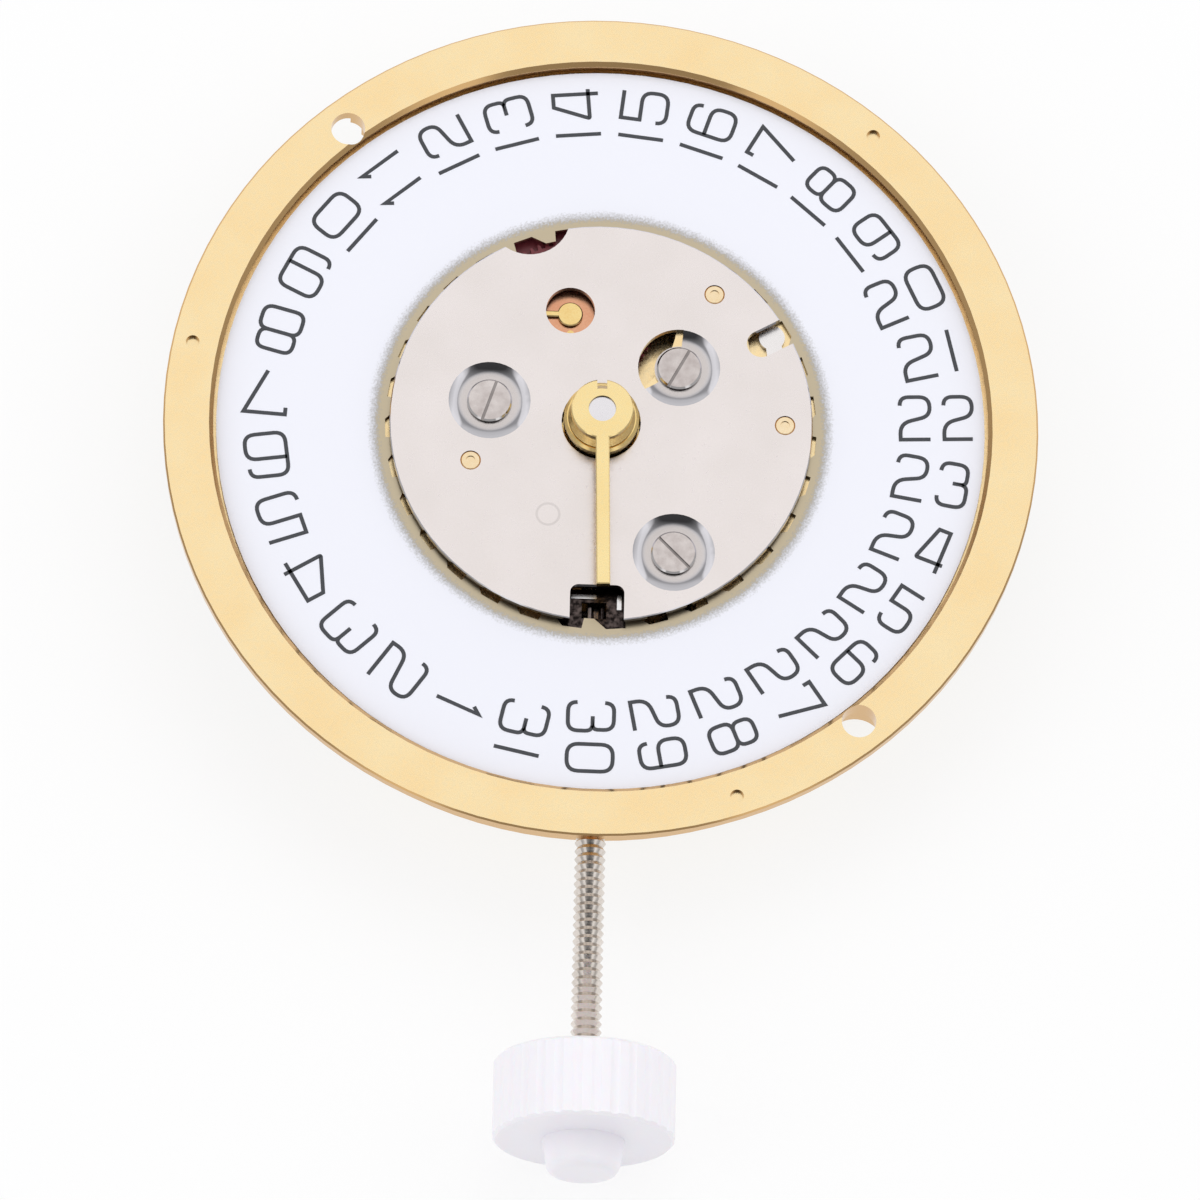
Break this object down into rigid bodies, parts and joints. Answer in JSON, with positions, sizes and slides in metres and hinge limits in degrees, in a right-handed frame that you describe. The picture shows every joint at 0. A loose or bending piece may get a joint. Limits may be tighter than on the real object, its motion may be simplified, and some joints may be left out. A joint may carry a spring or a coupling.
{
  "type": "quartz watch movement",
  "caption": "Round quartz watch movement with a date ring, a flanged gilt main plate, a test hand on the centre, and a long threaded stem with a white setting crown.",
  "frame": {"origin": "on the hands' centre line, in the plane of the flange's upper face that the dial lies on", "axes": "+Z along the hands' arbor towards the dial; the stem leaves the plate along -Y; +X is twelve o'clock"},
  "size_m": [0.0256, 0.0354, 0.0052],
  "materials": {
    "gilt_brass": "satin gilt brass",
    "white_enamel": "white painted brass with a bare inner edge",
    "nickel_silver": "fine satin nickel",
    "polished_steel": "polished steel",
    "hardened_steel": "dark hardened steel",
    "bright_brass": "bright turned brass",
    "red_resin": "moulded dark red resin",
    "spring_bronze": "copper-coloured spring bronze",
    "copper_wire": "enamelled copper wire",
    "soft_iron": "annealed nickel-iron sheet",
    "magnet_black": "sintered magnet",
    "bobbin_black": "moulded black plastic",
    "cell_steel": "nickel-plated steel can",
    "clear_film": "blue insulating plastic",
    "ruby": "polished synthetic ruby",
    "board_green": "green board with gilt tracks",
    "chip_resin": "black moulding resin",
    "tinned_wire": "tinned wire and lead glass",
    "white_plastic": "moulded white plastic"
  },
  "bodies": {
    "root": {"main_plate": "gilt_brass", "date_ring_cover": "nickel_silver", "cover_screws": "polished_steel", "guide_pins": "bright_brass", "date_wheel_post": "bright_brass", "wheel_posts": "polished_steel", "keyless_posts": "polished_steel", "setting_lever_spring": "nickel_silver", "keyless_cover": "hardened_steel", "stator": "soft_iron", "coil_core": "soft_iron", "coil_bobbin": "bobbin_black", "coil_winding": "copper_wire", "core_screws": "polished_steel", "battery_can": "cell_steel", "battery_cap": "cell_steel", "battery_sleeve": "clear_film", "negative_contact": "tinned_wire", "battery_strap": "nickel_silver", "strap_screw": "polished_steel", "train_bridge": "gilt_brass", "train_jewels": "ruby", "bridge_screws": "polished_steel", "circuit_board": "board_green", "board_screws": "polished_steel", "timing_chip": "chip_resin", "crystal_can": "cell_steel", "crystal_leads": "tinned_wire"},
    "minute_hand_works": {"cannon_pinion": "polished_steel", "centre_wheel": "bright_brass", "hand_collet": "bright_brass", "test_hand": "bright_brass"},
    "hour_wheel": {"hour_wheel": "bright_brass"},
    "minute_wheel": {"minute_wheel": "bright_brass"},
    "setting_wheel": {"setting_wheel": "hardened_steel"},
    "date_driving_works": {"date_driving_wheel": "red_resin", "date_finger": "spring_bronze", "date_finger_pin": "bright_brass"},
    "third_wheel": {"third_wheel": "bright_brass"},
    "intermediate_wheel": {"intermediate_wheel": "bright_brass"},
    "rotor": {"rotor_pinion": "polished_steel", "rotor_magnet": "magnet_black"},
    "date_ring": {"date_ring": "white_enamel"},
    "date_jumper": {"date_jumper": "nickel_silver"},
    "date_corrector": {"date_corrector_wheel": "hardened_steel"},
    "yoke": {"yoke": "hardened_steel"},
    "sliding_pinion": {"sliding_pinion": "hardened_steel"},
    "stem": {"stem": "polished_steel", "crown": "white_plastic"},
    "setting_lever": {"setting_lever": "hardened_steel"}
  },
  "joints": [
    {"name": "minute_turn", "type": "hinge", "parent": "root", "child": "minute_hand_works", "pos_m": [0, 0, 0], "axis": [0, 0, 1], "continuous": true},
    {"name": "hour_turn", "type": "hinge", "parent": "root", "child": "hour_wheel", "pos_m": [0, 0, 0], "axis": [0, 0, 1], "continuous": true},
    {"name": "minute_wheel_turn", "type": "hinge", "parent": "root", "child": "minute_wheel", "pos_m": [0.00016, -0.0015, 0], "axis": [0, 0, 1], "continuous": true},
    {"name": "setting_wheel_turn", "type": "hinge", "parent": "root", "child": "setting_wheel", "pos_m": [0.0004, -0.00382, 0], "axis": [0, 0, 1], "continuous": true},
    {"name": "date_wheel_turn", "type": "hinge", "parent": "root", "child": "date_driving_works", "pos_m": [-0.00098, 0.00349, 0], "axis": [0, 0, 1], "continuous": true},
    {"name": "third_wheel_turn", "type": "hinge", "parent": "root", "child": "third_wheel", "pos_m": [0.00218, -0.00101, 0], "axis": [0, 0, 1], "continuous": true},
    {"name": "intermediate_wheel_turn", "type": "hinge", "parent": "root", "child": "intermediate_wheel", "pos_m": [0.00319, 0.00116, 0], "axis": [0, 0, 1], "continuous": true},
    {"name": "rotor_turn", "type": "hinge", "parent": "root", "child": "rotor", "pos_m": [0.00513, 0.00228, 0], "axis": [0, 0, 1], "continuous": true},
    {"name": "date_ring_turn", "type": "hinge", "parent": "root", "child": "date_ring", "pos_m": [0, 0, 0], "axis": [0, 0, 1], "continuous": true},
    {"name": "date_jumper_swing", "type": "hinge", "parent": "root", "child": "date_jumper", "pos_m": [0.00538, 0.00007, 0], "axis": [0, 0, 1], "range_deg": [0, 6], "stiffness_Nm_per_rad": 0.000002, "springref_deg": -5.73},
    {"name": "date_corrector_turn", "type": "hinge", "parent": "root", "child": "date_corrector", "pos_m": [0.00155, -0.00528, 0], "axis": [0, 0, 1], "continuous": true},
    {"name": "clutch_shift", "type": "slide", "parent": "root", "child": "yoke", "axis": [0, 1, 0], "range_m": [0, 0.00045]},
    {"name": "stem_turn", "type": "hinge", "parent": "yoke", "child": "sliding_pinion", "pos_m": [0, 0, -0.0014], "axis": [0, -1, 0], "continuous": true},
    {"name": "stem_pull", "type": "slide", "parent": "sliding_pinion", "child": "stem", "axis": [0, -1, 0], "range_m": [0, 0.00135]},
    {"name": "setting_lever_swing", "type": "hinge", "parent": "root", "child": "setting_lever", "pos_m": [-0.0024, -0.00935, 0], "axis": [0, 0, 1], "range_deg": [-21.3, 0]}
  ],
  "couplings": [
    {"joint": "hour_turn", "follows": "minute_turn", "ratio": 0.083333},
    {"joint": "minute_wheel_turn", "follows": "minute_turn", "ratio": -0.33333},
    {"joint": "setting_wheel_turn", "follows": "minute_turn", "ratio": 0.3125},
    {"joint": "date_wheel_turn", "follows": "minute_turn", "ratio": -0.041667},
    {"joint": "third_wheel_turn", "follows": "minute_turn", "ratio": -3},
    {"joint": "intermediate_wheel_turn", "follows": "minute_turn", "ratio": 15},
    {"joint": "rotor_turn", "follows": "minute_turn", "ratio": -90},
    {"joint": "clutch_shift", "follows": "stem_pull", "ratio": 0.33333},
    {"joint": "setting_lever_swing", "follows": "stem_pull", "rad_per_m": -274.59}
  ]
}
